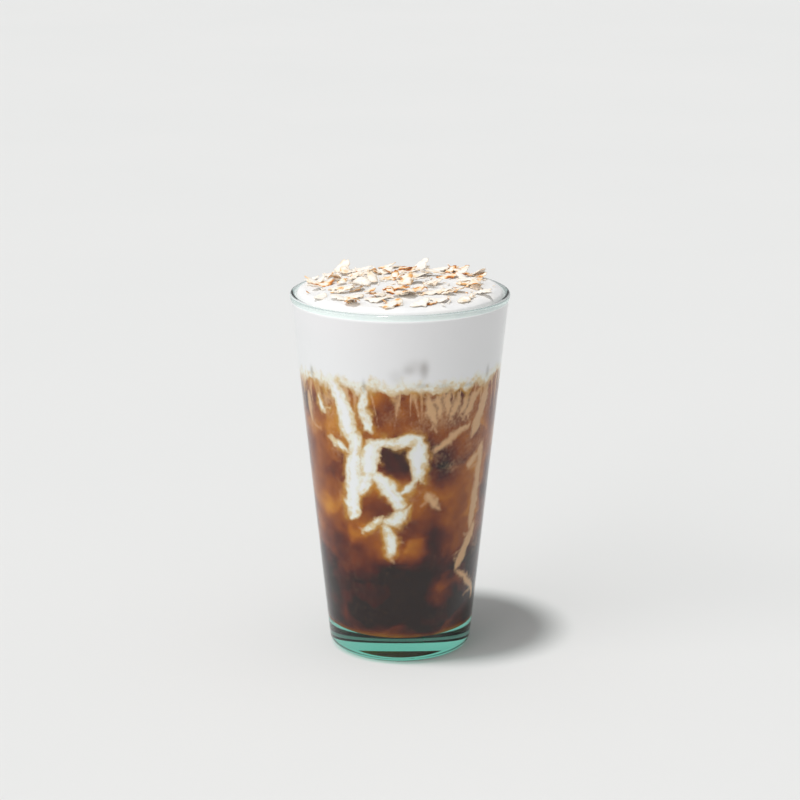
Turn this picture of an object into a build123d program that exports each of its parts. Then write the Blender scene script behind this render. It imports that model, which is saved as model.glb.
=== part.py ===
from build123d import *
import os
from math import cos, radians, sin, sqrt

# A pint tumbler of cold brew coffee under a thick layer of cream foam, with
# toasted coconut flakes scattered over the foam. Millimetres, +Z up. The
# origin is on the surface the glass stands on, on the glass's own axis.

# Glass
glass_height = 149.2
rim_diameter = 88.9
base_diameter = 57.8            # where the side's slope would meet the table
wall_at_rim = 2.3
wall_at_floor = 2.8
floor_height = 10.3             # thickness of the heavy base
floor_corner_radius = 9.0
heel_radius = 4.5
foot_ring_inner_radius = 19.5
push_up = 1.4                   # hollow under the base, inside the foot ring
bead_height = 3.2               # swelling below the lip
bead_rise = 0.3
bead_blend_radius = 3.0
lip_radius = 0.95

# Contents
contents_clearance = 0.15       # between the contents and the glass
foam_depth = 31.0               # from the rim's plane down to the coffee
foam_edge_rise = 1.75           # foam above the rim's plane, at the wall
foam_centre_rise = 4.0          # foam above the rim's plane, on the axis
foam_shoulder_radius = 3.0
layer_clearance = 0.15          # between the foam and the coffee

# The foam sinks into the coffee in rounded lobes, in two uneven rings
lobe_radius = 10.5
lobe_radius_spread = 3.0
lobe_drop = 2.6                 # how far a lobe hangs below the foam's level
lobe_drop_spread = 1.5
lobe_bearing_spread = 8.0
outer_lobe_count = 13
inner_lobe_count = 6
outer_lobe_inset = 7.0          # from the cavity's wall to a lobe's centre
inner_lobe_inset = 24.0
BEARING_STEP = 2.3              # steps in radians, so that no two lobes
RADIUS_STEP = 1.7               # in a row are alike
DROP_STEP = 2.9

# Coconut flakes
flake_thickness = 0.9
flake_seat_clearance = 0.2      # between a flake and the foam it lies on
flake_edge_margin = 4.2         # ring at the foam's edge that flakes keep off

# A flake's outline, as shares of its length and width from its middle
BLUNT_END = (-0.5, 0.1)
UPPER_EDGE = [(-0.22, 0.46), (0.2, 0.4)]
SHARP_END = (0.5, -0.15)
LOWER_EDGE = [(0.12, -0.5), (-0.3, -0.42)]

# One row for each large flake: share of the way from the axis to the margin,
# bearing, length, width, heading of its length, tilt, and the radius that its
# section is bent to. Bearings and headings run anticlockwise from +X.
FLAKES = [
    (1.00, 161, 5.5, 3.2, 15, 12, 5.0),
    (0.98, 130, 8.0, 5.0, 62, 28, 6.0),
    (0.86, 147, 7.5, 4.6, -25, 8, 7.0),
    (0.88, 118, 8.0, 4.8, 8, 10, 8.0),
    (0.90, 99, 7.0, 4.4, -12, 18, 6.0),
    (0.92, 76, 7.0, 4.6, 35, 30, 5.0),
    (0.82, 59, 9.0, 4.8, -20, 12, 7.0),
    (0.97, 47, 6.5, 4.0, 15, 20, 6.0),
    (0.95, 28, 7.5, 4.4, -55, 30, 5.0),
    (0.73, 3, 10.5, 6.6, 28, 6, 14.0),
    (0.70, -31, 6.5, 4.0, -30, 16, 4.5),
    (0.35, -10, 7.5, 4.6, 12, 10, 6.0),
    (0.10, -50, 8.0, 4.2, 72, 24, 4.0),
    (0.20, 120, 8.5, 5.0, 5, 8, 8.0),
    (0.44, 186, 7.0, 5.0, 60, 18, 5.0),
    (0.66, 203, 10.0, 3.2, -6, 6, 4.0),
    (0.82, 179, 9.0, 6.0, 20, 5, 12.0),
    (0.99, 214, 6.0, 4.2, 65, 8, 6.0),
    (0.82, 232, 9.0, 4.6, 12, 8, 7.0),
    (0.78, 252, 8.5, 5.4, -10, 5, 10.0),
    (0.92, 265, 9.5, 4.8, 52, 10, 7.0),
    (0.93, 282, 8.0, 4.6, 34, 16, 5.0),
    (0.85, 299, 8.5, 5.0, -18, 6, 9.0),
    (0.38, 264, 10.0, 4.6, -8, 8, 9.0),
    (0.58, 307, 9.0, 5.2, 14, 6, 11.0),
    (0.97, 312, 6.0, 3.8, 60, 10, 6.0),
    (0.97, 333, 8.0, 3.0, -40, 12, 6.0),
    (0.62, 137, 9.0, 5.2, -15, 10, 8.0),
    (0.52, 110, 8.0, 4.8, 30, 14, 6.0),
    (0.40, 58, 8.5, 5.2, -35, 8, 8.0),
    (0.58, 30, 8.5, 5.0, 18, 8, 9.0),
    (0.64, 83, 7.5, 4.4, 0, 12, 6.0),
]

# Worked out from the sizes above
rim_radius = rim_diameter / 2
base_radius = base_diameter / 2
side_top_radius = rim_radius - bead_rise
inner_rim_radius = rim_radius - wall_at_rim
foam_level = glass_height - foam_depth
bead_bottom = glass_height - bead_height
bead_crest = glass_height - bead_height / 2


def side_radius(height):
    """Outer radius of the glass's straight side at a height."""
    return base_radius + (side_top_radius - base_radius) * height / glass_height


inner_floor_radius = side_radius(floor_height) - wall_at_floor


def cavity_radius(height):
    """Inner radius of the glass's straight wall at a height."""
    share = (height - floor_height) / (glass_height - floor_height)
    return inner_floor_radius + (inner_rim_radius - inner_floor_radius) * share


def contents_radius(height):
    """Radius of what fills the glass at a height, clear of the wall."""
    return cavity_radius(height) - contents_clearance


foam_edge_height = glass_height + foam_edge_rise
foam_top_height = glass_height + foam_centre_rise
foam_edge_radius = contents_radius(foam_edge_height)
foam_crown = foam_centre_rise - foam_edge_rise
foam_dome_radius = (foam_edge_radius ** 2 + foam_crown ** 2) / (2 * foam_crown)


def foam_height(distance):
    """Height of the domed foam at a distance from the axis."""
    sag = foam_dome_radius - sqrt(foam_dome_radius ** 2 - distance ** 2)
    return foam_top_height - sag


# Glass: one revolved half section, with the hollow under its base as an arc
with BuildPart() as glass:
    with BuildSketch(Plane.XZ):
        with BuildLine():
            TangentArc((0, push_up), (foot_ring_inner_radius, 0), tangent=(1, 0))
            FilletPolyline(
                (foot_ring_inner_radius, 0),
                (base_radius, 0),
                (side_radius(bead_bottom), bead_bottom),
                (rim_radius, bead_crest),
                (rim_radius, glass_height),
                (inner_rim_radius, glass_height),
                (inner_floor_radius, floor_height),
                (0, floor_height),
                radius=[
                    heel_radius,
                    bead_blend_radius,
                    bead_blend_radius,
                    lip_radius,
                    lip_radius,
                    floor_corner_radius,
                ],
            )
            Line((0, floor_height), (0, push_up))
        make_face()
    revolve(axis=Axis.Z)
glass.part.label = "glass"

# Everything in the glass, coffee and foam together, up to the foam's dome
with BuildPart() as contents:
    with BuildSketch(Plane.XZ) as contents_section:
        with BuildLine():
            contents_floor = floor_height + contents_clearance
            FilletPolyline(
                (0, contents_floor),
                (contents_radius(contents_floor), contents_floor),
                (foam_edge_radius, foam_edge_height),
                radius=floor_corner_radius - contents_clearance,
            )
            dome_edge = (foam_edge_radius, foam_edge_height)
            TangentArc((0, foam_top_height), dome_edge, tangent=(1, 0))
            Line((0, foam_top_height), (0, contents_floor))
        make_face()
        shoulder = contents_section.vertices().sort_by(Axis.X)[-1]
        fillet(shoulder, foam_shoulder_radius)
    revolve(axis=Axis.Z)


def lobe_places():
    """Centre distance, bearing, radius and drop of each lobe under the foam."""
    rings = [(outer_lobe_count, outer_lobe_inset), (inner_lobe_count, inner_lobe_inset)]
    places = []
    for count, inset in rings:
        for index in range(count):
            bearing = 360 / count * index + lobe_bearing_spread * sin(BEARING_STEP * index)
            radius = lobe_radius + lobe_radius_spread * sin(RADIUS_STEP * index + inset)
            drop = lobe_drop + lobe_drop_spread * sin(DROP_STEP * index + inset)
            places.append((cavity_radius(foam_level) - inset, bearing, radius, drop))
    return places


def foam_room(growth):
    """All above the foam's level with its lobes, grown outwards by a clearance."""
    with BuildPart() as room:
        with BuildSketch(Plane.XY.offset(foam_level - growth)):
            Circle(rim_radius)
        extrude(amount=foam_depth + foam_centre_rise + growth + lobe_radius)
        for distance, bearing, radius, drop in lobe_places():
            x = distance * cos(radians(bearing))
            y = distance * sin(radians(bearing))
            with Locations((x, y, foam_level - drop + radius)):
                Sphere(radius + growth)
    return room.part


# Coffee: the lower contents, hollowed where the foam's lobes sink into it
with BuildPart() as cold_brew:
    add(contents.part)
    add(foam_room(layer_clearance), mode=Mode.SUBTRACT)
cold_brew.part.label = "cold_brew"

# Cream foam: the upper contents, with its lobes below and its dome above
with BuildPart() as cream_foam:
    add(contents.part)
    add(foam_room(0), mode=Mode.INTERSECT)
cream_foam.part.label = "cream_foam"


def coconut_flake(length, width, bend_radius):
    """A thin chip with a bent section and a pointed outline, along X."""

    def outline(shares):
        return [(length * along, width * across) for along, across in shares]

    with BuildPart() as chip:
        with BuildSketch(Plane.YZ):
            with Locations((0, -bend_radius)):
                Circle(bend_radius + flake_thickness / 2)
                Circle(bend_radius - flake_thickness / 2, mode=Mode.SUBTRACT)
        extrude(amount=length, both=True)
        with BuildSketch(Plane.XY.offset(-bend_radius)):
            with BuildLine():
                Spline(outline([BLUNT_END, *UPPER_EDGE, SHARP_END]))
                Spline(outline([SHARP_END, *LOWER_EDGE, BLUNT_END]))
            make_face()
        extrude(amount=bend_radius + flake_thickness, mode=Mode.INTERSECT)
    return chip.part


def placed_flake(row):
    """A flake turned, tilted and set down on the foam's dome, square to it."""
    share, bearing, length, width, heading, tilt, bend_radius = row
    distance = share * (foam_edge_radius - flake_edge_margin)
    x = distance * cos(radians(bearing))
    y = distance * sin(radians(bearing))
    chip = coconut_flake(length, width, bend_radius)
    chip = chip.rotate(Axis.Y, -tilt).rotate(Axis.Z, heading)
    chip = chip.moved(Location((0, 0, flake_seat_clearance - chip.bounding_box().min.Z)))
    resting_point = Vector(x, y, foam_height(distance))
    dome_centre = Vector(0, 0, foam_top_height - foam_dome_radius)
    seat = Plane(resting_point, x_dir=(1, 0, 0), z_dir=resting_point - dome_centre)
    return chip.moved(seat.location)


flakes = [placed_flake(row) for row in FLAKES]

os.makedirs("parts", exist_ok=True)
export_step(glass.part, "parts/glass.step")
export_step(cold_brew.part, "parts/cold_brew.step")
export_step(cream_foam.part, "parts/cream_foam.step")
for number, flake in enumerate(flakes, start=1):
    flake.label = f"coconut_flake_{number:02d}"
    export_step(flake, f"parts/{flake.label}.step")
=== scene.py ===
import math

import bpy
import numpy as np
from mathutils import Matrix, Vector, noise


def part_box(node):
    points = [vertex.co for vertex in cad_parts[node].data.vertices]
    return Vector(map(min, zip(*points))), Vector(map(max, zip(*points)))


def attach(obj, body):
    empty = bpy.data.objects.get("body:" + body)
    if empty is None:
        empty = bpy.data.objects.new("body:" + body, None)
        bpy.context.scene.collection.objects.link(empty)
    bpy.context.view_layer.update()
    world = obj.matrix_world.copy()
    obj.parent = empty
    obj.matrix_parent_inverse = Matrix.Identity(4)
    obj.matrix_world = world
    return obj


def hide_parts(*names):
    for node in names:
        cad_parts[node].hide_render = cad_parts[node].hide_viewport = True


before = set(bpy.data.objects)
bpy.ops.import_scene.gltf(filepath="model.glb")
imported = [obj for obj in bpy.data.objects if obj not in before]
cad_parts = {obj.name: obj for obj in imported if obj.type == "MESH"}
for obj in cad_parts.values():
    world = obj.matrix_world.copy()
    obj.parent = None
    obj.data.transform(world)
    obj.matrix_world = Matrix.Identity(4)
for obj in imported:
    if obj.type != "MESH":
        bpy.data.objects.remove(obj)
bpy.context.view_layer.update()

# The looks of a pint tumbler of cold brew coffee with cream foam and toasted
# coconut flakes. Metres, +Z up, the camera looks along +Y.

MM = 0.001
rng = np.random.default_rng(7)

# Sizes, from the frame where it holds them
glass_low, glass_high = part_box("glass")
foam_low, foam_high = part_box("cream_foam")
coffee_low, coffee_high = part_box("cold_brew")
HEIGHT = glass_high.z
RIM_RADIUS = glass_high.x
BASE_RADIUS = 28.9 * MM
FLOOR_HEIGHT = 10.3 * MM
WALL_AT_RIM = 2.3 * MM
WALL_AT_FLOOR = 2.8 * MM
BEAD_HEIGHT = 3.2 * MM
BEAD_RISE = 0.3 * MM
LIP_RADIUS = 0.95 * MM
HEEL_RADIUS = 4.5 * MM
FLOOR_CORNER = 9.0 * MM
PUSH_UP = 1.4 * MM
FOOT_INNER_RADIUS = 19.5 * MM
REACH = 0.4 * MM                # how far the contents reach into the wall
FOAM_LEVEL = HEIGHT - 31.0 * MM
LAYER_JOINT = FOAM_LEVEL + 3 * MM
DOME_TOP = foam_high.z
DOME_RISE = 2.25 * MM
AROUND = 480                    # steps round the contents

# Camera: 900 mm away, looking 15 degrees down
CAMERA_PLACE = (0, -0.900, 0.349)
CAMERA_DROP = math.radians(15.24)
CAMERA_LENS = 102.9


def side_radius(z):
    top = RIM_RADIUS - BEAD_RISE
    return BASE_RADIUS + (top - BASE_RADIUS) * z / HEIGHT


FLOOR_RADIUS = side_radius(FLOOR_HEIGHT) - WALL_AT_FLOOR


def cavity_radius(z):
    share = (z - FLOOR_HEIGHT) / (HEIGHT - FLOOR_HEIGHT)
    return FLOOR_RADIUS + (RIM_RADIUS - WALL_AT_RIM - FLOOR_RADIUS) * share


DOME_EDGE = cavity_radius(HEIGHT)
DOME_RADIUS = (DOME_EDGE ** 2 + DOME_RISE ** 2) / (2 * DOME_RISE)


def dome_height(r):
    return DOME_TOP - DOME_RADIUS + np.sqrt(DOME_RADIUS ** 2 - r ** 2)


def rgb(red, green, blue):
    """A colour given as 0 to 255 on a screen, as the linear value nodes take."""
    def linear(c):
        c = c / 255
        return c / 12.92 if c <= 0.04045 else ((c + 0.055) / 1.055) ** 2.4
    return (linear(red), linear(green), linear(blue), 1)


# ---- meshes ----

def rounded(points, radii, steps=10):
    """A polyline with its inner corners rounded, as a list of points."""
    out = [Vector(points[0])]
    for before, corner, after, radius in zip(points, points[1:], points[2:], radii):
        corner = Vector(corner)
        to_before = (Vector(before) - corner).normalized()
        to_after = (Vector(after) - corner).normalized()
        half = to_before.angle(to_after) / 2
        start = corner + to_before * radius / math.tan(half)
        end = corner + to_after * radius / math.tan(half)
        centre = corner + (to_before + to_after).normalized() * radius / math.sin(half)
        for i in range(steps + 1):
            t = i / steps
            ray = (start - centre).lerp(end - centre, t)
            out.append(centre + ray.normalized() * radius)
    out.append(Vector(points[-1]))
    return out


def even(points, step):
    """Points along a polyline no further apart than a step."""
    out = [points[0]]
    for a, b in zip(points, points[1:]):
        parts = max(1, math.ceil((b - a).length / step))
        out += [a.lerp(b, (i + 1) / parts) for i in range(parts)]
    return out


def lathe(name, profile, around):
    """A closed surface turned from a profile that starts and ends on the axis."""
    inner = [p for p in profile if p.x > 1e-7]
    angles = np.arange(around) * 2 * math.pi / around - math.pi / 2
    verts = [(p.x * math.cos(a), p.x * math.sin(a), p.y) for p in inner for a in angles]
    verts += [(0, 0, profile[0].y), (0, 0, profile[-1].y)]
    first, last = len(verts) - 2, len(verts) - 1
    faces = []
    for row in range(len(inner) - 1):
        for i in range(around):
            j = (i + 1) % around
            low, high = row * around, (row + 1) * around
            faces.append((low + i, low + j, high + j, high + i))
    top = (len(inner) - 1) * around
    for i in range(around):
        j = (i + 1) % around
        faces.append((first, j, i))
        faces.append((last, top + i, top + j))
    return mesh_piece(name, verts, faces)


def mesh_piece(name, verts, faces):
    mesh = bpy.data.meshes.new(name)
    mesh.from_pydata([tuple(v) for v in verts], [], faces)
    mesh.update()
    mesh.polygons.foreach_set("use_smooth", [True] * len(mesh.polygons))
    piece = bpy.data.objects.new(name, mesh)
    bpy.context.scene.collection.objects.link(piece)
    return piece


def keep_sharp(piece, degrees):
    piece.data.set_sharp_from_angle(angle=math.radians(degrees))


def give_attribute(piece, name, values):
    layer = piece.data.attributes.new(name, "FLOAT", "POINT")
    layer.data.foreach_set("value", np.asarray(values, np.float32))


# ---- materials ----

class Nodes:
    """A material's node tree with short ways to add and join nodes."""

    def __init__(self, name):
        self.material = bpy.data.materials.new(name)
        self.material.use_nodes = True
        self.tree = self.material.node_tree
        self.shader = self.tree.nodes["Principled BSDF"]
        self.output = self.tree.nodes["Material Output"]

    def add(self, kind, **settings):
        node = self.tree.nodes.new(kind)
        for key, value in settings.items():
            setattr(node, key, value)
        return node

    def join(self, source, target):
        self.tree.links.new(source, target)

    def attribute(self, name):
        return self.add("ShaderNodeAttribute", attribute_name=name).outputs["Fac"]

    def noise(self, scale, detail=3.0, roughness=0.55):
        place = self.add("ShaderNodeTexCoord").outputs["Object"]
        node = self.add("ShaderNodeTexNoise")
        node.inputs["Scale"].default_value = scale
        node.inputs["Detail"].default_value = detail
        node.inputs["Roughness"].default_value = roughness
        self.join(place, node.inputs["Vector"])
        return node.outputs["Fac"]

    def backlit_facets(self, scale, amount):
        """Painted light and shade: cells with fairly crisp sides, like light coming through ice behind coffee."""
        place = self.add("ShaderNodeTexCoord").outputs["Object"]
        wave = self.add("ShaderNodeTexNoise")
        wave.inputs["Scale"].default_value = scale
        self.join(place, wave.inputs["Vector"])
        shifted = self.add("ShaderNodeVectorMath", operation="MULTIPLY_ADD")
        self.join(wave.outputs["Color"], shifted.inputs[0])
        shifted.inputs[1].default_value = (0.012, 0.012, 0.012)
        self.join(place, shifted.inputs[2])
        cells = self.add("ShaderNodeTexVoronoi", feature="SMOOTH_F1")
        cells.inputs["Scale"].default_value = scale
        cells.inputs["Smoothness"].default_value = 0.25
        self.join(shifted.outputs[0], cells.inputs["Vector"])
        level = self.add("ShaderNodeSeparateColor")
        self.join(cells.outputs["Color"], level.inputs[0])
        return self.math("MULTIPLY", self.math("SUBTRACT", level.outputs[0], 0.5), amount)

    def math(self, how, a, b):
        node = self.add("ShaderNodeMath", operation=how)
        for socket, value in zip(node.inputs, (a, b)):
            if isinstance(value, (int, float)):
                socket.default_value = value
            else:
                self.join(value, socket)
        return node.outputs[0]

    def spread(self, value, low, high):
        """0 at low, 1 at high, smooth between."""
        node = self.add("ShaderNodeMapRange", interpolation_type="SMOOTHSTEP")
        node.inputs["From Min"].default_value = low
        node.inputs["From Max"].default_value = high
        self.join(value, node.inputs["Value"])
        return node.outputs["Result"]

    def ramp(self, value, stops):
        node = self.add("ShaderNodeValToRGB")
        elements = node.color_ramp.elements
        while len(elements) < len(stops):
            elements.new(0.5)
        for element, (place, colour) in zip(elements, stops):
            element.position = place
            element.color = colour
        self.join(value, node.inputs["Fac"])
        return node.outputs["Color"]

    def mix(self, share, a, b):
        node = self.add("ShaderNodeMix", data_type="RGBA")
        self.join(share, node.inputs["Factor"])
        for socket, value in ((node.inputs[6], a), (node.inputs[7], b)):
            if isinstance(value, tuple):
                socket.default_value = value
            else:
                self.join(value, socket)
        return node.outputs[2]

    def bump(self, height, distance, strength=0.5):
        node = self.add("ShaderNodeBump")
        node.inputs["Distance"].default_value = distance
        node.inputs["Strength"].default_value = strength
        self.join(height, node.inputs["Height"])
        self.join(node.outputs["Normal"], self.shader.inputs["Normal"])


def glass_material():
    """Clear glass, faintly green where it is thick, that lets lamps through."""
    n = Nodes("clear_glass")
    n.shader.inputs["Base Color"].default_value = (1, 1, 1, 1)
    n.shader.inputs["Roughness"].default_value = 0.0
    n.shader.inputs["IOR"].default_value = 1.5
    n.shader.inputs["Specular IOR Level"].default_value = 0.12
    n.shader.inputs["Transmission Weight"].default_value = 1.0
    through = n.add("ShaderNodeBsdfTransparent")
    path = n.add("ShaderNodeLightPath")
    unbent = n.math("MAXIMUM", path.outputs["Is Shadow Ray"], path.outputs["Is Diffuse Ray"])
    mixed = n.add("ShaderNodeMixShader")
    n.join(unbent, mixed.inputs[0])
    n.join(n.shader.outputs[0], mixed.inputs[1])
    n.join(through.outputs[0], mixed.inputs[2])
    n.join(mixed.outputs[0], n.output.inputs["Surface"])
    tint = n.add("ShaderNodeVolumeAbsorption")
    tint.inputs["Color"].default_value = (0.10, 0.72, 0.60, 1)
    tint.inputs["Density"].default_value = 36.0
    n.join(tint.outputs[0], n.output.inputs["Volume"])
    return n.material


def contents_material():
    """Coffee, cream streams and foam as they show through the glass, with painted backlight in the coffee and painted
    shade where ice sits behind the foam.
    """
    n = Nodes("coffee_and_cream")
    grain = n.math("SUBTRACT", n.noise(900), 0.5)
    ragged = n.math("MULTIPLY", n.math("SUBTRACT", n.noise(340, 2), 0.5), 1.3)
    cream = n.math("ADD", n.attribute("cream"), n.math("ADD", n.math("MULTIPLY", grain, 0.9), ragged))
    veil = n.math("ADD", n.attribute("veil"), n.math("MULTIPLY", grain, 2.0))
    cloud = n.math("MULTIPLY", n.math("SUBTRACT", n.noise(190), 0.5), 0.34)
    # The coffee's own tone plus painted backlight: lighter where light comes through ice, darker between, with random
    # cloudiness
    tone_and_backlight = n.math("ADD", n.math("ADD", n.attribute("tone_and_backlight"), cloud), n.backlit_facets(75, 0.26))
    coffee = n.ramp(tone_and_backlight, [
        (0.0, rgb(26, 2, 1)),
        (0.18, rgb(72, 10, 1)),
        (0.38, rgb(122, 46, 2)),
        (0.58, rgb(166, 82, 4)),
        (0.78, rgb(204, 120, 16)),
        (1.0, rgb(232, 164, 54)),
    ])
    veiled = n.mix(n.spread(veil, -1.3, 1.3), coffee, rgb(222, 168, 124))
    golden = n.math("MULTIPLY", n.spread(cream, -2.6, 0.0), n.spread(n.noise(110), 0.38, 0.62))
    fringed = n.mix(golden, veiled, rgb(206, 142, 58))
    thin = n.mix(n.spread(cream, -0.7, 0.3), fringed, rgb(224, 184, 140))
    streak = n.mix(n.spread(n.noise(300), 0.42, 0.7), rgb(252, 240, 232), rgb(236, 202, 158))
    fuller = n.mix(n.spread(cream, -0.1, 1.2), thin, streak)
    creamy = n.mix(n.spread(cream, 1.3, 3.0), fuller, rgb(255, 243, 246))
    # Painted shade where ice sits behind the foam
    ice_shaded = n.mix(n.attribute("ice_shade"), creamy, rgb(150, 132, 126))
    n.join(ice_shaded, n.shader.inputs["Base Color"])
    n.shader.inputs["Roughness"].default_value = 0.6
    n.shader.inputs["Specular IOR Level"].default_value = 0.0
    return n.material


def foam_material():
    """The open top of the foam: white, soft, with the faintest pores."""
    n = Nodes("cream_foam_top")
    shade = n.spread(n.noise(120), 0.3, 0.7)
    n.join(n.mix(shade, rgb(240, 240, 240), rgb(246, 245, 243)), n.shader.inputs["Base Color"])
    n.shader.inputs["Roughness"].default_value = 0.5
    n.shader.inputs["Specular IOR Level"].default_value = 0.25
    n.bump(n.noise(1500, 4), 0.15 * MM, 0.25)
    return n.material


def flake_material():
    """Coconut: cream-white flesh, golden to brown where it is toasted."""
    n = Nodes("toasted_coconut")
    grain = n.math("MULTIPLY", n.math("SUBTRACT", n.noise(700, 4), 0.5), 0.5)
    toast = n.math("ADD", n.attribute("toast"), grain)
    colour = n.ramp(toast, [
        (0.0, rgb(255, 250, 243)),
        (0.38, rgb(253, 240, 222)),
        (0.6, rgb(250, 220, 180)),
        (0.76, rgb(244, 188, 122)),
        (0.9, rgb(228, 150, 74)),
        (1.0, rgb(186, 106, 40)),
    ])
    n.join(colour, n.shader.inputs["Base Color"])
    n.shader.inputs["Roughness"].default_value = 0.55
    n.shader.inputs["Specular IOR Level"].default_value = 0.35
    n.bump(n.noise(2400, 4), 0.1 * MM, 0.5)
    return n.material


# ---- the contents' pattern ----

# Runs of cream on the wall: start (x, height) as seen straight on,
# heading in degrees from straight down with right positive, length, width,
# and the turn over its length. White runs lie on the wall, tan ones a little in.
WHITE_RUNS = [
    (-27, 119, 30, 24, 5, -30), (-18, 98, 0, 36, 5, -5), (-14, 119, -5, 20, 3, 30),
    (-28, 97, 50, 10, 2, 0), (-10, 96, 95, 20, 3, 10), (7, 97, 5, 16, 5, -10),
    (9, 84, -40, 14, 2, -10), (-11, 95, -5, 14, 5, -15), (-13, 82, -25, 10, 4, 0),
    (-11, 82, 60, 20, 4, -60), (-6, 63, 85, 10, 3, 80), (-7, 65, -50, 11, 2, 0),
    (-6, 60, 30, 13, 3, -60), (-32, 113, 10, 9, 2, 30),
]
TAN_RUNS = [
    (34, 117, -5, 22, 3, -25), (28, 101, -60, 18, 2, 0), (32, 90, -5, 36, 3, -5),
    (29, 55, -20, 18, 3, -10), (22, 38, 50, 18, 2, -70), (27, 82, 160, 8, 2, -60),
    (-22, 117, 5, 11, 3, 0), (-8, 83, 45, 18, 2, -40), (10, 75, 30, 10, 2, 20),
    (-36, 112, 5, 13, 2, 0),
]
FAN_RUNS = 6                    # thin tan runs that fan out of the foam at the right
FAN_START = 11
FAN_STEP = 4
RING_MIDDLE = (-2, 89)          # the dark opening that the white runs close round
BACKLIT_ICE_LEVELS = 7                  # rows of painted backlight and shade, where ice lies
BACKLIT_ICE_PER_LEVEL = 6
# Thin clouds of cream in the coffee: (x, height, width, tallness, share)
CREAM_CLOUDS = [
    (-27, 105, 4, 8, 0.30), (-24, 92, 4, 6, 0.50), (-15, 107, 3, 6, 0.40), (-3, 108, 6, 4, 0.30),
    (9, 103, 6, 3, 0.40), (14, 109, 5, 5, 0.45), (24, 106, 9, 7, 0.50), (30, 92, 6, 8, 0.40),
    (22, 84, 7, 4, 0.35), (31, 72, 4, 10, 0.40), (-14, 80, 3, 6, 0.60), (1, 72, 6, 4, 0.40),
    (30, 50, 4, 10, 0.30), (-35, 104, 4, 9, 0.45), (-6, 60, 8, 4, 0.35), (14, 92, 7, 4, 0.30),
    (-22, 70, 4, 8, 0.30), (8, 84, 4, 8, 0.35),
]
# Where coffee pushes up into the foam: (x, height, width, tallness, depth)
FOAM_GAPS = [
    (-14, 116, 1.1, 4.5, -3.5), (-8, 112.5, 2.8, 3.2, -3.4), (3, 112.5, 2.2, 2.6, -2.6),
    (-24, 113.5, 2.4, 3.4, -2.6), (14, 114.5, 3.0, 1.4, -2.0), (24, 115.5, 3.2, 1.4, -2.0),
    (-35, 115, 2.4, 3.0, -2.4), (38, 115, 2.0, 3.4, -2.6),
]
# Where ice shows as a shadow in the foam: (x, height, width, tallness, share)
FOAM_ICE_SHADES = [
    (6.0, 128, 4.5, 3.0, 0.22), (9.6, 126.5, 1.8, 3.6, 0.42), (-1.5, 124, 3.0, 3.0, 0.16),
    (3.2, 126.5, 2.2, 1.8, 0.20), (-34.8, 121.5, 1.2, 2.2, 0.50), (34.5, 121.5, 1.3, 2.6, 0.40),
    (9.0, 120.2, 3.0, 1.0, 0.30), (17, 119.4, 3.2, 0.9, 0.22), (27, 118.3, 2.6, 0.9, 0.35),
    (-14.2, 119.5, 0.9, 2.6, 0.45),
]
STREAM_FULLNESS = 1.35          # the cream spreads a little past its middle line
TOUCHES_FOAM = 112              # streams that start above this come out of the foam


def along_stream(stream):
    """Close points along a smooth curve through a stream's points."""
    p = np.array(stream, float)
    p = np.vstack([2 * p[0] - p[1], p, 2 * p[-1] - p[-2]])
    out = []
    for a, b, c, d in zip(p, p[1:], p[2:], p[3:]):
        for t in np.linspace(0, 1, max(3, int(np.linalg.norm(c - b) / 0.4)), endpoint=False):
            out.append(0.5 * (2 * b + (c - a) * t + (2 * a - 5 * b + 4 * c - d) * t * t
                              + (3 * b - a - 3 * c + d) * t ** 3))
    out = np.array(out)
    steps = np.hypot(*np.diff(out[:, :2], axis=0).T)
    gone = np.concatenate([[0], np.cumsum(steps)])
    taper = np.clip((gone[-1] - gone + 0.3) / 3.5, 0, 1) ** 0.6
    if stream[0][1] < TOUCHES_FOAM and stream[0][2] < 2:
        taper = taper * np.clip((gone + 0.3) / 3.5, 0, 1) ** 0.6
    out[:, 2] = np.maximum(out[:, 2], 0.3) * STREAM_FULLNESS * taper
    return out


def drawn(run):
    """A run as a stream: points along its arc, widest in the middle."""
    x, height, heading, length, width, turn = run
    steps = 6
    rows = []
    for i in range(steps + 1):
        share = i / steps
        rows.append((x, height, width * (0.75 + 0.4 * math.sin(math.pi * share))))
        way = math.radians(heading + turn * share)
        x += math.sin(way) * length / steps
        height -= math.cos(way) * length / steps
    return rows


def fan():
    """Thin runs side by side, leaning further left the further right they start."""
    out = []
    for i in range(FAN_RUNS):
        start = (FAN_START + FAN_STEP * i, 115)
        out.append((*start, 12 - 9 * i, rng.uniform(8, 15), rng.uniform(1.5, 2.5), rng.uniform(-15, 15)))
    return out


def ice_backlight():
    """Painted backlight through ice: lighter and darker places at random, on rows from the floor up to the foam, after
    a patch of painted shade in the ring's dark opening.
    """
    rows = [(*RING_MIDDLE, 6, 8, -0.55)]
    for level in range(BACKLIT_ICE_LEVELS):
        for i in range(BACKLIT_ICE_PER_LEVEL):
            x = -33 + 13 * i + rng.uniform(-5, 5)
            height = 24 + 14 * level + rng.uniform(-5, 5)
            size = rng.uniform(3.5, 7)
            rows.append((x, height, size, size * rng.uniform(0.7, 1.3), rng.uniform(-0.3, 0.3)))
    return rows


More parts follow.
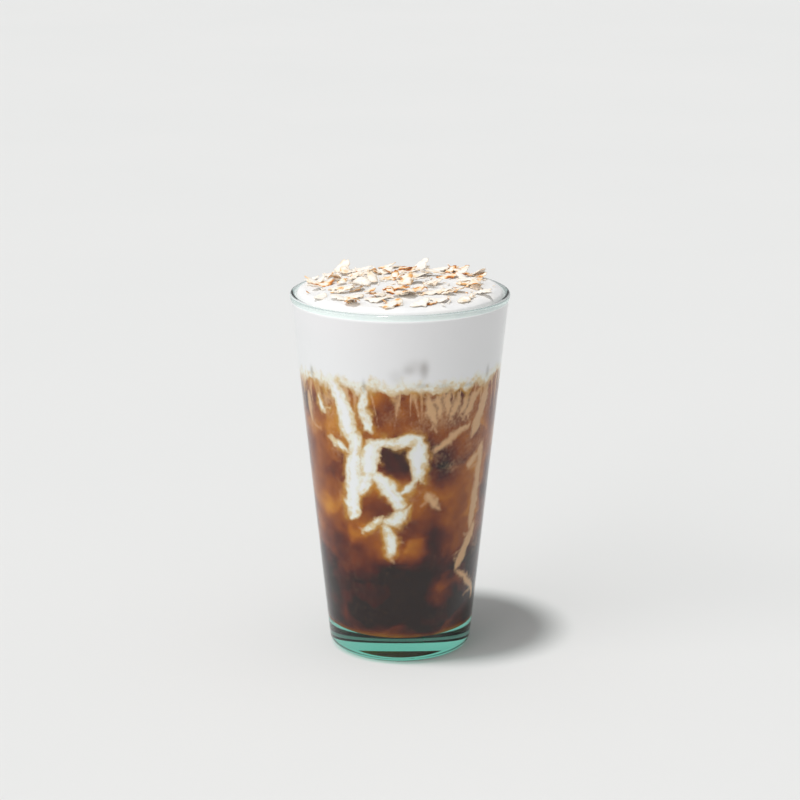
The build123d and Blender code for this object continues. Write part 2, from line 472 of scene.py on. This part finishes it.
def wisps(streams, count):
    """Short, thin curls that leave the streams to either side."""
    out = []
    for _ in range(count):
        curve = along_stream(streams[rng.integers(len(streams))])
        i = rng.integers(1, len(curve) - 1)
        way = curve[i + 1, :2] - curve[i - 1, :2]
        heading = math.atan2(way[1], way[0]) + rng.choice([-1, 1]) * rng.uniform(0.3, 1.0)
        bend = rng.uniform(-0.5, 0.5)
        length = rng.uniform(2.5, 6.0)
        x, height = curve[i, :2]
        rows = [(x, height, 1.4)]
        for k in range(3):
            x += math.cos(heading) * length / 3
            height += math.sin(heading) * length / 3
            heading += bend
            rows.append((x, height, 1.1 - 0.3 * k))
        out.append(rows)
    return out


def turned(rows, mirror):
    """Rows given as seen straight on, as bearings from the front in radians."""
    rows = np.array(rows, float)
    radius = cavity_radius(rows[:, 1] * MM) / MM + 1.2
    bearing = np.arcsin(np.clip(rows[:, 0] / radius, -0.995, 0.995))
    return (-bearing if mirror else bearing), rows[:, 1], radius


def angle_apart(a, b):
    return (a - b + math.pi) % (2 * math.pi) - math.pi


def stream_depth(bearing, z, streams, centre, mirror):
    """How deep each point lies inside the nearest stream, in mm."""
    depth = np.full(len(z), -9.0)
    for stream in streams:
        turns, heights, radius = turned(along_stream(stream), mirror)
        widths = along_stream(stream)[:, 2]
        for turn, height, size, r in zip(turns + centre, heights, widths, radius):
            near = np.abs(z - height) < 6
            across = angle_apart(bearing[near], turn) * r
            away = np.hypot(across, z[near] - height)
            depth[near] = np.maximum(depth[near], size / 2 - away)
    return depth


def patches(bearing, z, rows, centre, mirror):
    """Soft-edged patches added up at each point."""
    total = np.zeros(len(z))
    turns, heights, radius = turned([row[:2] for row in rows], mirror)
    for turn, height, r, row in zip(turns + centre, heights, radius, rows):
        across = angle_apart(bearing, turn) * r / row[2]
        up = (z - height) / row[3]
        total += row[4] * np.exp(-(across ** 2 + up ** 2) ** 1.3)
    return total


def paint(piece, white, tan, backlit_ice_places):
    """Works out the cream, the veil, the coffee's tone with painted backlight and the painted shade of ice behind the
    foam at each point of a piece.
    """
    count = len(piece.data.vertices)
    place = np.empty(count * 3)
    piece.data.vertices.foreach_get("co", place)
    x, y, z = place.reshape(-1, 3).T / MM
    bearing = np.arctan2(x, -y)
    # Wobble on the wall itself, so that the pattern closes round the back
    wide = np.array([noise.noise_vector((a * 0.16, b * 0.16, c * 0.16)) for a, b, c in zip(x, y, z)])
    fine = np.array([noise.noise_vector((a * 0.5, b * 0.5, c * 0.5)) for a, b, c in zip(x, y, z)])
    soft = np.array([noise.noise((a * 0.05 + 9, b * 0.05, c * 0.07)) for a, b, c in zip(x, y, z)])
    lobes = np.array([noise.noise((a * 0.11, b * 0.11, 4.0)) for a, b in zip(x, y)])
    bent_bearing = bearing + (wide[:, 0] * 1.5 + fine[:, 0] * 0.9) / 42
    bent_z = z + wide[:, 1] * 1.5 + fine[:, 1] * 0.9
    ripple = np.array([noise.noise((a * 0.32, b * 0.32, 7.0)) for a, b in zip(x, y)])
    edge = FOAM_LEVEL / MM - 1.2 + 3.2 * lobes + 2.4 * ripple - 2.6 * np.clip(np.abs(bearing) - 0.9, 0, 0.6)
    cream = (bent_z - edge) * 0.5
    # Thin filaments that hang below the foam and fade with depth
    strand = np.array([noise.noise((a * 0.26, b * 0.26, c * 0.05 + 3)) for a, b, c in zip(x, y, z)])
    below = np.clip((edge - z) / 26, 0, 1)
    veil = 1.4 - 9 * np.abs(strand + 0.10 * wide[:, 2]) - 3.6 * below
    tone_and_backlight = np.zeros(count)
    ice_shade = np.zeros(count)
    for centre, mirror in ((0.0, False), (2.75, True)):
        cream += patches(bent_bearing, bent_z, FOAM_GAPS, centre, mirror)
    for centre, mirror in ((0.0, False), (2.75, True)):
        cream = np.maximum(cream, stream_depth(bent_bearing, bent_z, white, centre, mirror))
        veil = np.maximum(veil, 1.2 * stream_depth(bent_bearing, bent_z, tan, centre, mirror))
        haze = patches(bent_bearing, bent_z, CREAM_CLOUDS, centre, mirror)
        veil = np.maximum(veil, 2.6 * haze * (0.75 + 0.5 * wide[:, 2]) - 1.3)
        # Painted backlight where light comes through ice, and painted shade in the ring's dark opening
        tone_and_backlight += patches(bent_bearing, bent_z, backlit_ice_places, centre, mirror)
        # Painted shade where ice sits behind the foam
        ice_shade += patches(bearing, z, FOAM_ICE_SHADES, centre, mirror)
    veil = np.maximum(veil, cream - 0.3)
    # The coffee grows lighter towards the top, with random tone on top of that
    rise = np.clip((z - 30) / 32, 0, 1)
    tone_and_backlight += 0.06 + 0.42 * rise * rise * (3 - 2 * rise) + 0.34 * soft + 0.12 * wide[:, 2]
    # Painted glow: a lighter band at the coffee's floor, where light comes through the thin coffee at the edge
    painted_floor_glow = np.exp(-((z - FLOOR_HEIGHT / MM) / 2.6) ** 2)
    tone_and_backlight = np.maximum(tone_and_backlight, 0.02) + 0.55 * painted_floor_glow
    give_attribute(piece, "cream", cream)
    give_attribute(piece, "veil", veil)
    give_attribute(piece, "tone_and_backlight", np.clip(tone_and_backlight, 0, 1))
    give_attribute(piece, "ice_shade", np.clip(ice_shade, 0, 1))


# ---- pieces ----

def finish_piece(piece, material, slot, *nodes):
    piece.data.materials.append(material)
    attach(piece, "root")
    if nodes:
        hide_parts(*nodes)
    return piece


def make_glass():
    ends = (FOOT_INNER_RADIUS, 0)
    arc = [Vector((FOOT_INNER_RADIUS * t, PUSH_UP * (1 - t * t))) for t in np.linspace(0, 1, 13)]
    bead_bottom = HEIGHT - BEAD_HEIGHT
    corners = [
        ends,
        (BASE_RADIUS, 0),
        (side_radius(bead_bottom), bead_bottom),
        (RIM_RADIUS, HEIGHT - BEAD_HEIGHT / 2),
        (RIM_RADIUS, HEIGHT),
        (RIM_RADIUS - WALL_AT_RIM, HEIGHT),
        (FLOOR_RADIUS, FLOOR_HEIGHT),
        (0, FLOOR_HEIGHT),
    ]
    radii = [HEEL_RADIUS, 3 * MM, 3 * MM, LIP_RADIUS, LIP_RADIUS, FLOOR_CORNER]
    outline = arc[:-1] + even(rounded(corners, radii, 14), 6 * MM)
    piece = lathe("tumbler", outline, 256)
    return finish_piece(piece, glass_material(), "clear_glass", "glass")


def make_coffee(material, streams):
    corners = [
        (0, FLOOR_HEIGHT - REACH),
        (cavity_radius(FLOOR_HEIGHT) + REACH, FLOOR_HEIGHT - REACH),
        (cavity_radius(LAYER_JOINT) + REACH, LAYER_JOINT),
        (0, LAYER_JOINT),
    ]
    wall = even(rounded(corners[:3], [FLOOR_CORNER + REACH], 14), 0.55 * MM)
    piece = lathe("coffee", wall + [Vector(corners[3])], AROUND)
    keep_sharp(piece, 50)
    paint(piece, *streams)
    return finish_piece(piece, material, "coffee", "cold_brew")


def make_foam(wall_material, top_material, streams):
    contact = HEIGHT - 2.7 * MM
    shoulder = [(cavity_radius(contact) + REACH, contact)]
    edge = cavity_radius(contact)
    shoulder += [(edge - 0.12 * MM, HEIGHT - 2.0 * MM), (edge - 0.3 * MM, HEIGHT - 0.6 * MM)]
    shoulder += [(edge - 0.75 * MM, HEIGHT + 0.7 * MM), (edge - 1.7 * MM, HEIGHT + 1.45 * MM)]
    shoulder += [(edge - 3.2 * MM, float(dome_height(edge - 3.2 * MM)))]
    side = even([Vector((cavity_radius(LAYER_JOINT) + REACH, LAYER_JOINT)), Vector(shoulder[0])], 0.7 * MM)
    rings = np.linspace(edge - 3.2 * MM, 0, 60)[1:]
    dome = [Vector((r, float(dome_height(r)))) for r in rings]
    profile = [Vector((0, LAYER_JOINT))] + side + even([Vector(p) for p in shoulder], 0.5 * MM)[1:] + dome
    piece = lathe("cream_foam", profile, AROUND)
    keep_sharp(piece, 50)
    paint(piece, *streams)
    for vertex in piece.data.vertices:
        x, y, z = vertex.co
        share = min(max((z - HEIGHT) / (1.5 * MM), 0), 1)
        swell = noise.noise((x * 70, y * 70, 2.0)) * 0.35 + noise.noise((x * 260, y * 260, 5.0)) * 0.12
        vertex.co.z += (swell - 0.25) * share * MM
    finish_piece(piece, wall_material, "cream", "cream_foam")
    piece.data.materials.append(top_material)
    for face in piece.data.polygons:
        if face.center.z > contact + 0.3 * MM:
            face.material_index = 1
    return piece


# Length, width, heading, tilt and bend radius of each large flake, in the
# order of the CAD's nodes
LARGE_FLAKES = [
    (5.5, 3.2, 15, 12, 5.0), (8.0, 5.0, 62, 28, 6.0), (7.5, 4.6, -25, 8, 7.0), (8.0, 4.8, 8, 10, 8.0),
    (7.0, 4.4, -12, 18, 6.0), (7.0, 4.6, 35, 30, 5.0), (9.0, 4.8, -20, 12, 7.0), (6.5, 4.0, 15, 20, 6.0),
    (7.5, 4.4, -55, 30, 5.0), (10.5, 6.6, 28, 6, 14.0), (6.5, 4.0, -30, 16, 4.5), (7.5, 4.6, 12, 10, 6.0),
    (8.0, 4.2, 72, 24, 4.0), (8.5, 5.0, 5, 8, 8.0), (7.0, 5.0, 60, 18, 5.0), (10.0, 3.2, -6, 6, 4.0),
    (9.0, 6.0, 20, 5, 12.0), (6.0, 4.2, 65, 8, 6.0), (9.0, 4.6, 12, 8, 7.0), (8.5, 5.4, -10, 5, 10.0),
    (9.5, 4.8, 52, 10, 7.0), (8.0, 4.6, 34, 16, 5.0), (8.5, 5.0, -18, 6, 9.0), (10.0, 4.6, -8, 8, 9.0),
    (9.0, 5.2, 14, 6, 11.0), (6.0, 3.8, 60, 10, 6.0), (8.0, 3.0, -40, 12, 6.0), (9.0, 5.2, -15, 10, 8.0),
    (8.0, 4.8, 30, 14, 6.0), (8.5, 5.2, -35, 8, 8.0), (8.5, 5.0, 18, 8, 9.0), (7.5, 4.4, 0, 12, 6.0),
]
SMALL_FLAKES = 80
CRUMBS = 120
TOPPING_RADIUS = 38.5 * MM


def flake_shape(length, width, bend, toasting, across=8, steps=14):
    """One torn, bent chip: its points in mm, its faces and its toasting."""
    thick = rng.uniform(0.28, 0.5)
    phase = rng.uniform(0, 6, 4)
    curl = rng.uniform(-0.05, 0.09)
    tops, toast = [], []
    for i in range(steps + 1):
        t = i / steps
        belly = math.sin(math.pi * (0.06 + 0.88 * t)) ** 0.7
        tear = 0.16 * math.sin(9 * t + phase[0]) + 0.12 * math.sin(21 * t + phase[1])
        upper = width / 2 * belly * (1 + tear)
        tear = 0.16 * math.sin(8 * t + phase[2]) + 0.12 * math.sin(19 * t + phase[3])
        lower = width / 2 * belly * (1 + tear)
        for j in range(across + 1):
            v = j / across
            y = -lower + (upper + lower) * v
            x = (t - 0.5) * length + 0.25 * math.sin(7 * v + phase[1])
            z = -y * y / (2 * bend) + curl * x * x * 0.5 + 0.12 * math.sin(3 * x + phase[2])
            rim = max(abs(2 * v - 1), abs(2 * t - 1)) ** 3
            tops.append((x, y, z, thick * (1 - 0.6 * rim)))
            patch = math.sin(0.9 * x + phase[0]) * math.sin(1.1 * y + phase[2])
            toast.append(toasting * (0.35 + 0.35 * rim + 0.45 * patch) + 0.08 * math.sin(2 * x + 3 * y))
    row = across + 1
    total = row * (steps + 1)
    points = [(x, y, z + h / 2) for x, y, z, h in tops] + [(x, y, z - h / 2) for x, y, z, h in tops]
    faces = []
    for i in range(steps):
        for j in range(across):
            a, b, c, d = i * row + j, (i + 1) * row + j, (i + 1) * row + j + 1, i * row + j + 1
            faces += [(a, b, c, d), (d + total, c + total, b + total, a + total)]
    border = [j for j in range(across)] + [i * row + across for i in range(steps)]
    border += [steps * row + j for j in range(across, 0, -1)] + [i * row for i in range(steps, 0, -1)]
    for a, b in zip(border, border[1:] + border[:1]):
        faces.append((a, b, b + total, a + total))
    return np.array(points), faces, toast + toast


def settle(points, heading, tilt, x, y):
    """Turns a chip, tilts it and sets its lowest point on the foam, in metres."""
    h, t = math.radians(heading), math.radians(tilt)
    lift = np.array([[math.cos(t), 0, -math.sin(t)], [0, 1, 0], [math.sin(t), 0, math.cos(t)]])
    turn = np.array([[math.cos(h), -math.sin(h), 0], [math.sin(h), math.cos(h), 0], [0, 0, 1]])
    placed = points @ lift.T @ turn.T * MM
    placed += (x, y, 0)
    clearance = placed[:, 2] - dome_height(np.hypot(placed[:, 0], placed[:, 1]))
    placed[:, 2] -= np.sort(clearance)[len(clearance) // 12]
    return placed


def flakes_piece(name, chips, material, *nodes):
    verts, faces, toast = [], [], []
    for points, chip_faces, chip_toast in chips:
        start = len(verts)
        verts += [tuple(p) for p in points]
        faces += [tuple(start + i for i in face) for face in chip_faces]
        toast += list(chip_toast)
    piece = mesh_piece(name, verts, faces)
    give_attribute(piece, "toast", toast)
    return finish_piece(piece, material, "coconut", *nodes)


def make_flakes():
    material = flake_material()
    nodes = sorted(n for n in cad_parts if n.startswith("coconut_flake"))
    chips = []
    for node, (length, width, heading, tilt, bend) in zip(nodes, LARGE_FLAKES):
        low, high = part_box(node)
        middle = (low + high) / 2
        toasting = rng.choice([0.3, 0.6, 0.9, 1.25], p=[0.3, 0.3, 0.25, 0.15])
        points, faces, toast = flake_shape(length * 1.08, width * 1.25, bend, toasting)
        chips.append((settle(points, heading, tilt, middle.x, middle.y), faces, toast))
    flakes_piece("large_flakes", chips, material, *nodes)
    chips = []
    for _ in range(SMALL_FLAKES):
        r = TOPPING_RADIUS * math.sqrt(rng.uniform(0, 0.95))
        a = rng.uniform(0, 2 * math.pi)
        length = rng.uniform(4.5, 8.5)
        toasting = rng.choice([0.3, 0.6, 0.9, 1.3], p=[0.3, 0.25, 0.25, 0.2])
        points, faces, toast = flake_shape(length, length * rng.uniform(0.45, 0.75), rng.uniform(4, 9), toasting, 6, 9)
        spot = settle(points, rng.uniform(0, 360), rng.uniform(2, 22), r * math.cos(a), r * math.sin(a))
        spot[:, 2] += rng.uniform(0, 1.0) * MM * (r < 0.8 * TOPPING_RADIUS)
        chips.append((spot, faces, toast))
    flakes_piece("small_flakes", chips, material)
    chips = []
    for _ in range(CRUMBS):
        r = (TOPPING_RADIUS + 0.5 * MM) * math.sqrt(rng.uniform(0, 1))
        a = rng.uniform(0, 2 * math.pi)
        length = rng.uniform(0.8, 2.4)
        points, faces, toast = flake_shape(length, length * rng.uniform(0.4, 0.8), 3, rng.uniform(0.2, 1.0), 4, 5)
        spot = settle(points, rng.uniform(0, 360), rng.uniform(0, 40), r * math.cos(a), r * math.sin(a))
        chips.append((spot, faces, toast))
    flakes_piece("coconut_crumbs", chips, material)


# ---- stage, light and camera ----

def make_floor():
    size = 6.0
    corners = [(-size, -size, 0), (size, -size, 0), (size, size, 0), (-size, size, 0)]
    floor = mesh_piece("floor", corners, [(0, 1, 2, 3)])
    n = Nodes("pale_floor")
    n.join(n.mix(n.noise(3), rgb(226, 227, 226), rgb(230, 230, 229)), n.shader.inputs["Base Color"])
    n.shader.inputs["Roughness"].default_value = 0.85
    n.shader.inputs["Specular IOR Level"].default_value = 0.1
    floor.data.materials.append(n.material)


def aim_lamp(lamp, place):
    holder = bpy.data.objects.new(lamp.name, lamp)
    holder.location = place
    aim = Vector((0, 0, 0.08)) - Vector(place)
    holder.rotation_euler = aim.to_track_quat("-Z", "Y").to_euler()
    bpy.context.scene.collection.objects.link(holder)


def make_lamps():
    """A soft key from above left, and a broad fill from the left."""
    key = bpy.data.lights.new("key", "SUN")
    key.energy = 1.85
    key.angle = math.radians(7)
    aim_lamp(key, (-0.15, -0.10, 1.0))
    fill = bpy.data.lights.new("fill", "SUN")
    fill.energy = 1.25
    fill.angle = math.radians(60)
    aim_lamp(fill, (-1.0, -0.75, 0.50))


def make_world():
    """Soft pale light all round, a paler pale where the camera sees it and where it shows through glass."""
    world = bpy.data.worlds.new("studio")
    world.use_nodes = True
    tree = world.node_tree
    lit = tree.nodes["Background"]
    lit.inputs["Color"].default_value = (1, 1, 1, 1)
    lit.inputs["Strength"].default_value = 0.36
    seen = tree.nodes.new("ShaderNodeBackground")
    seen.inputs["Color"].default_value = rgb(232, 233, 233)
    seen.inputs["Strength"].default_value = 1.0
    path = tree.nodes.new("ShaderNodeLightPath")
    either = tree.nodes.new("ShaderNodeMath")
    either.operation = "MAXIMUM"
    tree.links.new(path.outputs["Is Camera Ray"], either.inputs[0])
    tree.links.new(path.outputs["Is Transmission Ray"], either.inputs[1])
    mixed = tree.nodes.new("ShaderNodeMixShader")
    tree.links.new(either.outputs[0], mixed.inputs[0])
    tree.links.new(lit.outputs[0], mixed.inputs[1])
    tree.links.new(seen.outputs[0], mixed.inputs[2])
    tree.links.new(mixed.outputs[0], tree.nodes["World Output"].inputs["Surface"])
    bpy.context.scene.world = world


def make_camera():
    data = bpy.data.cameras.new("camera")
    data.lens = CAMERA_LENS
    data.sensor_width = 36
    holder = bpy.data.objects.new("camera", data)
    holder.location = CAMERA_PLACE
    holder.rotation_euler = (math.pi / 2 - CAMERA_DROP, 0, 0)
    bpy.context.scene.collection.objects.link(holder)
    bpy.context.scene.camera = holder


make_camera()
make_world()
make_floor()
make_lamps()
make_glass()
contents = contents_material()
white_main = [drawn(run) for run in WHITE_RUNS]
tan_main = [drawn(run) for run in TAN_RUNS + fan()]
white_streams = white_main + wisps(white_main, 26)
tan_streams = tan_main + wisps(tan_main, 24) + wisps(white_main, 24)
pattern = (white_streams, tan_streams, ice_backlight())
make_coffee(contents, pattern)
make_foam(contents, foam_material(), pattern)
make_flakes()

bpy.context.scene.view_settings.view_transform = "Standard"
